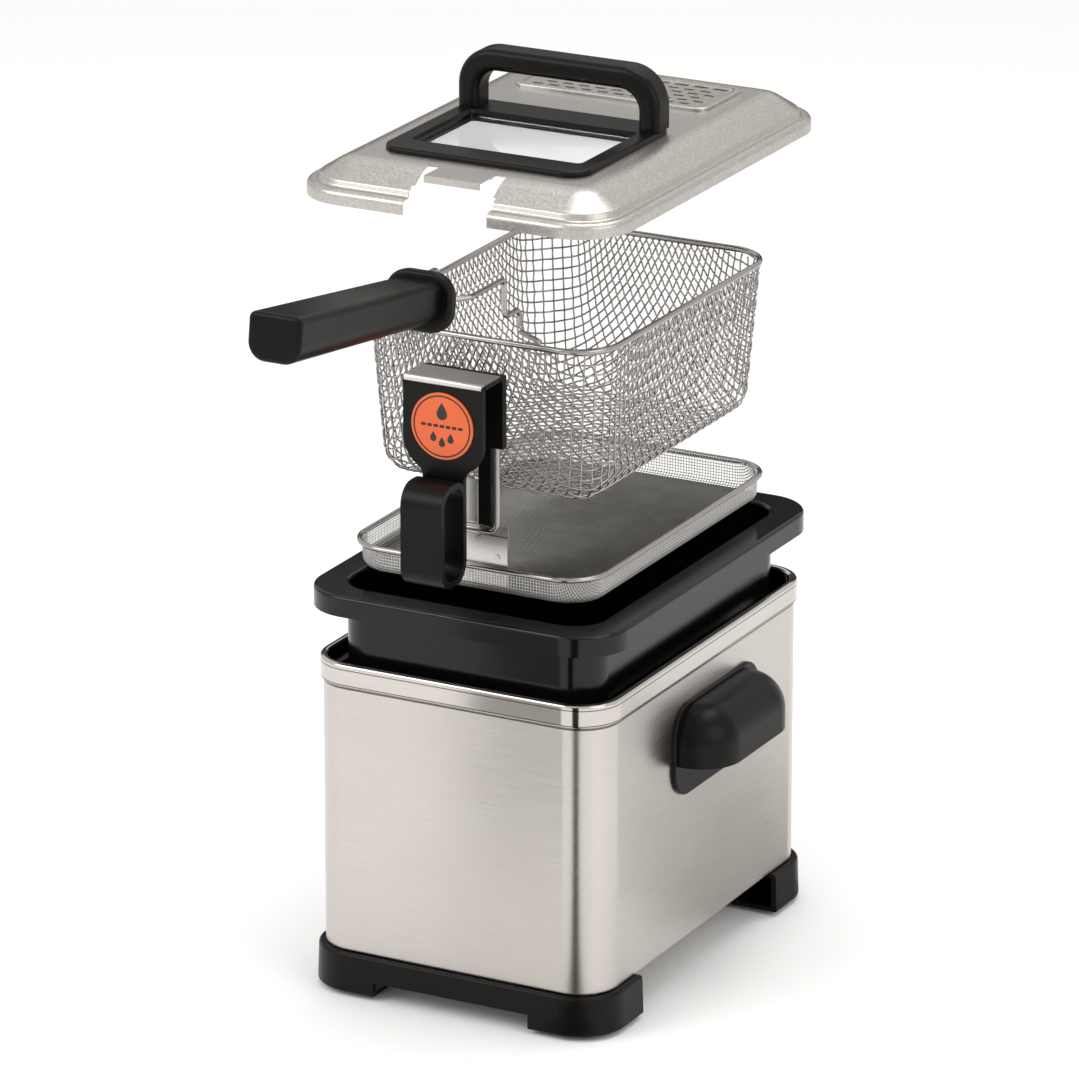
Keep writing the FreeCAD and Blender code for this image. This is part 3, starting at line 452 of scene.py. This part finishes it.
wires = []
for family, half_across, half_along in ((0, pan_y, pan_x), (1, pan_x, pan_y)):
    count = int((half_across + pan_reach) / gauze_pitch)
    edge = np.linspace(half_along - edge_start, half_along + pan_reach, edge_points)
    run = np.concatenate([-edge[::-1], [-half_along / 2, 0, half_along / 2], edge])
    for i in range(-count, count + 1):
        across = np.full(len(run), i * gauze_pitch)
        x, y = (run, across) if family == 0 else (across, run)
        core_x, core_y = np.clip(x, -pan_x, pan_x), np.clip(y, -pan_y, pan_y)
        s = np.hypot(x - core_x, y - core_y)
        way_x, way_y = (x - core_x) / np.maximum(s, 1e-9), (y - core_y) / np.maximum(s, 1e-9)
        out, up, turn = pressed(s, pan_flat, gauze_edge, 0.0)
        normal = np.stack([-way_x * np.sin(turn), -way_y * np.sin(turn), np.cos(turn)], 1)
        spot = np.stack([core_x + way_x * out, pan_mid + core_y + way_y * out, pan_floor + up], 1)
        spot += normal * (gauze_wire * layer * (1 - 2 * family))
        wires += unbroken(spot, normal, s <= pan_reach)
gauze_net = wire_mesh("filter_gauze", wires, gauze_wire, gauze_sides)

# Stainless gauze: grey on the floor, where the dark bowl shows through it. Up the walls the wires
# are painted pale, a painted light in a tone matched to the photograph.
wave_mm = 16.67
gauze, tree, shader = blank("stainless_gauze")
place = add(tree, "TexCoord")
wave = add(tree, "TexNoise", [("Vector", place, "Object")], Scale=scale_of(wave_mm), Detail=2.0)
tint = add(tree, "MixRGB", [("Fac", wave, "Fac")], Color1=rgb("#918F8C"), Color2=rgb("#B4B2AF"))
height = add(tree, "SeparateXYZ", [("Vector", place, "Object")])
# Painted light: this mask rises from the floor's edge up the walls, where the wires turn pale.
wall = add(tree, "MapRange", [("Value", height, "Z")],
           From_Min=pan_floor + under_rim, From_Max=pan_floor + gauze_edge)
painted_light_walls = add(tree, "MixRGB", [("Fac", wall, "Result"), ("Color1", tint, "Color")],
           Color2=rgb("#EDEBE8"))
tree.links.new(painted_light_walls.outputs["Color"], shader.inputs["Base Color"])
shader.inputs["Metallic"].default_value = 1.0
shader.inputs["Roughness"].default_value = 0.32
gauze_net.data.materials.append(gauze)
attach(gauze_net, "filter")
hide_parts("filter_pan")


# Rims and bent wires of the filter and the basket: stainless wire, bent to shape and welded where
# its ends meet.
# Drawn stainless wire: bright, with narrow highlights that break up a little along its length.
drawn_mm = 2.0
bright, tree, shader = blank("bright_stainless_wire")
place = add(tree, "TexCoord")
drawn = add(tree, "TexNoise", [("Vector", place, "Object")], Scale=scale_of(drawn_mm), Detail=2.0)
gloss = add(tree, "MapRange", [("Value", drawn, "Fac")], To_Min=0.12, To_Max=0.26)
tree.links.new(gloss.outputs["Result"], shader.inputs["Roughness"])
shader.inputs["Base Color"].default_value = rgb("#A5A19E")
shader.inputs["Metallic"].default_value = 1.0
dress(bright, "filter_rim", "lever_wire", "basket_rim", "handle_wires")


# Tab, bracket and cap of the filter's lever: stainless strip, cut and folded. The bracket is
# riveted to the tray over the tab, and the cap is clipped over the lever's top.
# Plain rolled strip: pale and even, with a light upright grain.
grain_mm, grain_length_mm = 0.5556, 25
strip, tree, shader = blank("stainless_strip")
place = add(tree, "TexCoord")
stretch = add(tree, "Mapping", [("Vector", place, "Object")],
              Scale=(scale_of(grain_mm), scale_of(grain_length_mm), scale_of(grain_length_mm)))
streak = add(tree, "TexNoise", [("Vector", stretch, "Vector")], Scale=1.0, Detail=2.0)
gloss = add(tree, "MapRange", [("Value", streak, "Fac")], To_Min=0.26, To_Max=0.33)
tree.links.new(gloss.outputs["Result"], shader.inputs["Roughness"])
shader.inputs["Base Color"].default_value = rgb("#CFCCC9")
shader.inputs["Metallic"].default_value = 1.0
dress(strip, "filter_tab", "filter_bracket", "lever_cap")


# Lever: moulded in the same black plastic as the handles, with an orange disc let into its face
# and glued.
# Printed plastic disc: a flat warm orange, half matt.
blot_mm = 16.67
dress(plastic, "lever_handle")
orange, tree, shader = blank("orange_print")
place = add(tree, "TexCoord")
blot = add(tree, "TexNoise", [("Vector", place, "Object")], Scale=scale_of(blot_mm), Detail=2.0)
tint = add(tree, "MixRGB", [("Fac", blot, "Fac")], Color1=rgb("#D65A27"), Color2=rgb("#DF652E"))
tree.links.new(tint.outputs["Color"], shader.inputs["Base Color"])
shader.inputs["Roughness"].default_value = 0.4
dress(orange, "lever_badge")


# Sign on the disc: a thin ring, one drop above a dashed sieve line and three smaller drops below
# it, pad printed and drawn 0.1 mm proud of the disc.
# Black pad print: a soft warm black, half matt.
blot_mm = 2.5
black_ink, tree, shader = blank("black_pad_print")
place = add(tree, "TexCoord")
blot = add(tree, "TexNoise", [("Vector", place, "Object")], Scale=scale_of(blot_mm), Detail=2.0)
tint = add(tree, "MixRGB", [("Fac", blot, "Fac")], Color1=rgb("#161312"), Color2=rgb("#241E1B"))
tree.links.new(tint.outputs["Color"], shader.inputs["Base Color"])
shader.inputs["Roughness"].default_value = 0.45
low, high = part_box("lever_badge")
ink_proud = 0.0001
sign_z, sign_r, sign_y = (low[2] + high[2]) / 2, (high[2] - low[2]) / 2, low[1] - ink_proud
ring_r, ring_wide = sign_r * 0.925, sign_r * 0.045
dash_long, dash_wide, dash_round = sign_r * 0.15, sign_r * 0.09, sign_r * 0.03
dash_count, dash_step, dash_start = 7, sign_r * 0.2, sign_r * -0.6
drops = ((0, 0.36, 0.17), (-0.28, -0.38, 0.1), (0.28, -0.38, 0.1), (0, -0.52, 0.1))  # x, z, size
drop_pull = 1.4
upright = (math.radians(90), 0, 0)
bpy.ops.object.select_all(action="DESELECT")
bpy.ops.mesh.primitive_circle_add(vertices=72, radius=ring_r, fill_type="NGON",
                                  location=(0, sign_y, sign_z), rotation=upright)
sign = bpy.context.object
sign.name = "badge_sign"
bpy.ops.object.mode_set(mode="EDIT")
bpy.ops.mesh.inset(thickness=ring_wide)
bpy.ops.mesh.delete(type="FACE")
bpy.ops.object.mode_set(mode="OBJECT")
bpy.ops.mesh.primitive_plane_add(size=1, location=(dash_start, sign_y, sign_z), rotation=upright)
dash = bpy.context.object
dash.scale = (dash_long, dash_wide, 1)
bpy.ops.object.transform_apply(location=False, rotation=True, scale=True)
bpy.ops.object.mode_set(mode="EDIT")
bpy.ops.mesh.bevel(offset=dash_round, segments=3, affect="VERTICES")
bpy.ops.object.mode_set(mode="OBJECT")
row = dash.modifiers.new("row", "ARRAY")
row.count = dash_count
row.use_relative_offset = False
row.use_constant_offset = True
row.constant_offset_displace = (dash_step, 0, 0)
bpy.ops.object.modifier_apply(modifier="row")
shapes = [sign, dash]
for x, z, size in drops:
    bpy.ops.mesh.primitive_circle_add(vertices=24, radius=size * sign_r, fill_type="NGON",
                                      location=(x * sign_r, sign_y, sign_z + z * sign_r),
                                      rotation=upright)
    drop = bpy.context.object
    bpy.ops.object.mode_set(mode="EDIT")
    bpy.ops.mesh.select_mode(type="VERT")
    bpy.ops.mesh.select_all(action="DESELECT")
    bpy.ops.object.mode_set(mode="OBJECT")
    max(drop.data.vertices, key=lambda v: v.co.y).select = True
    bpy.ops.object.mode_set(mode="EDIT")
    bpy.ops.transform.translate(value=(0, 0, size * sign_r), use_proportional_edit=True,
                                proportional_edit_falloff="SHARP",
                                proportional_size=size * sign_r * drop_pull)
    bpy.ops.object.mode_set(mode="OBJECT")
    shapes.append(drop)
for shape in shapes:
    shape.select_set(True)
bpy.context.view_layer.objects.active = sign
bpy.ops.object.join()
bpy.ops.object.transform_apply(location=True, rotation=True, scale=True)
depth = sign.modifiers.new("depth", "SOLIDIFY")
depth.thickness = ink_depth
depth.offset = -1
bpy.ops.object.modifier_apply(modifier="depth")
sign.data.materials.append(black_ink)
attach(sign, "filter")


# Basket: the same bright wire, 1.4 mm thick, woven square at 7.8 mm, laid on the bias and drawn
# into a tub. The wires stand square at the corners and close up into steep diamonds along the
# walls. The net's edge is rolled round the rim wire.
low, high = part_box("basket_rim")
rim_r, corner = 0.00225, 0.032
half_x = (high[0] - low[0]) / 2 - rim_r - corner
half_y = (high[1] - low[1]) / 2 - rim_r - corner
mid_y, rim_z = (high[1] + low[1]) / 2, (high[2] + low[2]) / 2
panel_half = 0.0008
floor_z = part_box("basket_mesh_floor")[0][2] + panel_half
wire_r, wire_sides, pitch, crimp = 0.00070, 5, 0.0078, 0.75
keep, least_slack = 0.026, 0.05
edge_r, lean = 0.020, math.radians(5.0)
turned = math.pi / 2 - lean
rise = rim_z - floor_z - edge_r * (1 - math.cos(turned))
flat = corner - edge_r * math.sin(turned) - rise * math.tan(lean)
reach = flat + edge_r * turned + rise / math.cos(lean)


def on_basket(x, y, lift):
    """Carries points of the flat net onto the drawn basket, raised off it by lift.

    Near a corner's middle the net keeps its width over a distance of keep. Further along the
    wall it is drawn in, by as much as the wall is shorter than the flat net.
    """
    sx, sy = np.where(x < 0, -1.0, 1.0), np.where(y < 0, -1.0, 1.0)
    over_x, over_y = np.maximum(np.abs(x) - half_x, 0), np.maximum(np.abs(y) - half_y, 0)
    s = np.hypot(over_x, over_y)
    out, up, angle = pressed(s, flat, edge_r, lean)
    side_y = over_y > over_x
    quarter = math.pi / 4
    along = np.abs(np.arctan2(over_y, over_x) - quarter) * s
    straight = np.where(side_y, half_x - np.abs(x), half_y - np.abs(y))
    along = np.where((over_x > 0) & (over_y > 0), along, s * quarter + straight)
    half = np.where(side_y, half_x, half_y)
    square = keep * math.sqrt(math.pi) / 2
    drawn_room, flat_room = out * quarter + half - square, s * quarter + half - square
    slack = np.clip(drawn_room / np.maximum(flat_room, 1e-6), least_slack, 1)
    held = square * np.array([math.erf(v) for v in along / keep])
    drawn_in = slack * along + (1 - slack) * held
    turn = np.minimum(drawn_in / np.maximum(out, 1e-9), quarter)
    turn = quarter + np.where(side_y, turn, -turn)
    slide = np.maximum(drawn_in - out * quarter, 0)
    px = np.where(side_y, half_x - slide, half_x) + out * np.cos(turn)
    py = np.where(side_y, half_y, half_y - slide) + out * np.sin(turn)
    px, py = np.where(s > 0, px, np.abs(x)), np.where(s > 0, py, np.abs(y))
    way = np.stack([np.cos(turn) * sx, np.sin(turn) * sy], 1)
    normal = np.concatenate([-way * np.sin(angle)[:, None], np.cos(angle)[:, None]], 1)
    spot = np.stack([px * sx, py * sy + mid_y, floor_z + up], 1)
    return spot + normal * lift[:, None], normal, s


wires = []
span = int((half_x + half_y + 2 * reach) / math.sqrt(2) / pitch) + 2
step = np.arange(-2 * span, 2 * span + 1)
for family in (1, -1):
    for i in range(-span, span + 1):
        a = np.full(len(step), (i + 0.5) * pitch)
        b = step * pitch / 2 + 0.25 * pitch
        x, y = (a + b) / math.sqrt(2), family * (a - b) / math.sqrt(2)
        over_under = np.cos(math.pi * (step / 2 - 0.25 + i)) * crimp
        spot, normal, s = on_basket(x, y, family * over_under * wire_r)
        wires += unbroken(spot, normal, s <= reach)
weave = wire_mesh("basket_weave", wires, wire_r, wire_sides)
weave.data.materials.append(bright)
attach(weave, "basket")
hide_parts(*[n for n in nodes if n.startswith("basket_mesh")])


# Basket handle: a grip and an oval collar moulded in the same black plastic, with the two bent
# wires of the basket moulded into the collar.
dress(plastic, "handle_collar", "handle_grip")


# Lid and vent: pressed from stainless sheet, with a drawn slope and a rolled edge. The vent's
# grille is a second pressing, let into the lid and crimped.
# Satin stainless: dull and warm, with a sparkle of fine grit. Such grit is usually about 0.3 mm
# and is drawn coarser so that it shows.
satin_mm, grit_mm = (0.6667, 11.11, 3.333), 1.613
satin, tree, shader = blank("stainless_satin_pressing")
place = add(tree, "TexCoord")
stretch = add(tree, "Mapping", [("Vector", place, "Object")],
              Scale=[scale_of(mm) for mm in satin_mm])
streak = add(tree, "TexNoise", [("Vector", stretch, "Vector")],
             Scale=1.0, Detail=3.0, Roughness=0.7)
speck = add(tree, "TexNoise", [("Vector", place, "Object")], Scale=scale_of(grit_mm), Detail=2.0)
both = add(tree, "MixRGB", [("Color1", streak, "Fac"), ("Color2", speck, "Fac")], Fac=0.75)
gloss = add(tree, "MapRange", [("Value", both, "Color")],
            From_Min=0.3, From_Max=0.7, To_Min=0.31, To_Max=0.43)
tint = add(tree, "MixRGB", [("Fac", both, "Color")], Color1=rgb("#8F8A85"), Color2=rgb("#DFDAD3"))
bump = add(tree, "Bump", [("Height", both, "Color")], Strength=0.1, Distance=0.0002)
tree.links.new(tint.outputs["Color"], shader.inputs["Base Color"])
tree.links.new(gloss.outputs["Result"], shader.inputs["Roughness"])
tree.links.new(bump.outputs["Normal"], shader.inputs["Normal"])
shader.inputs["Metallic"].default_value = 1.0
dress(satin, "lid_shell", "vent_grille")


# Steam filter under the vent: a mat of metal wool, cut to size and held under the grille.
# It shows only through the slots.
# Metal wool painted nearly black all over, a painted shade that keeps the vent's slots dark, in a
# rough tangle of darker and lighter strands.
strand_mm = 0.8333
wool_painted_shade, tree, shader = blank("metal_wool_painted_shade")
place = add(tree, "TexCoord")
tangle = add(tree, "TexNoise", [("Vector", place, "Object")],
             Scale=scale_of(strand_mm), Detail=4.0, Distortion=2.0)
# Painted shade: both tones are near black, so the filter reads as the vent's dark inside.
tint = add(tree, "MixRGB", [("Fac", tangle, "Fac")], Color1=rgb("#0E0D0D"), Color2=rgb("#3A3836"))
bump = add(tree, "Bump", [("Height", tangle, "Fac")], Strength=0.6, Distance=0.0006)
tree.links.new(tint.outputs["Color"], shader.inputs["Base Color"])
tree.links.new(bump.outputs["Normal"], shader.inputs["Normal"])
shader.inputs["Roughness"].default_value = 0.8
dress(wool_painted_shade, "steam_filter")


# Window and lid handle: a frame and a bridge moulded in the same black plastic and screwed
# through the lid, and a pane of tempered glass held from below by a rubber gasket.
# Clear glass: see-through, with a faint smear that softens its reflections here and there.
smear_mm = 40
dress(plastic, "window_frame", "lid_handle")
dress(rubber, "window_gasket")
glass, tree, shader = blank("clear_tempered_glass")
place = add(tree, "TexCoord")
smear = add(tree, "TexNoise", [("Vector", place, "Object")], Scale=scale_of(smear_mm), Detail=3.0)
gloss = add(tree, "MapRange", [("Value", smear, "Fac")], To_Min=0.0, To_Max=0.06)
tree.links.new(gloss.outputs["Result"], shader.inputs["Roughness"])
shader.inputs["Base Color"].default_value = rgb("#F4F6F5")
shader.inputs["Transmission Weight"].default_value = 1.0
shader.inputs["IOR"].default_value = 1.45
dress(glass, "window_glass")
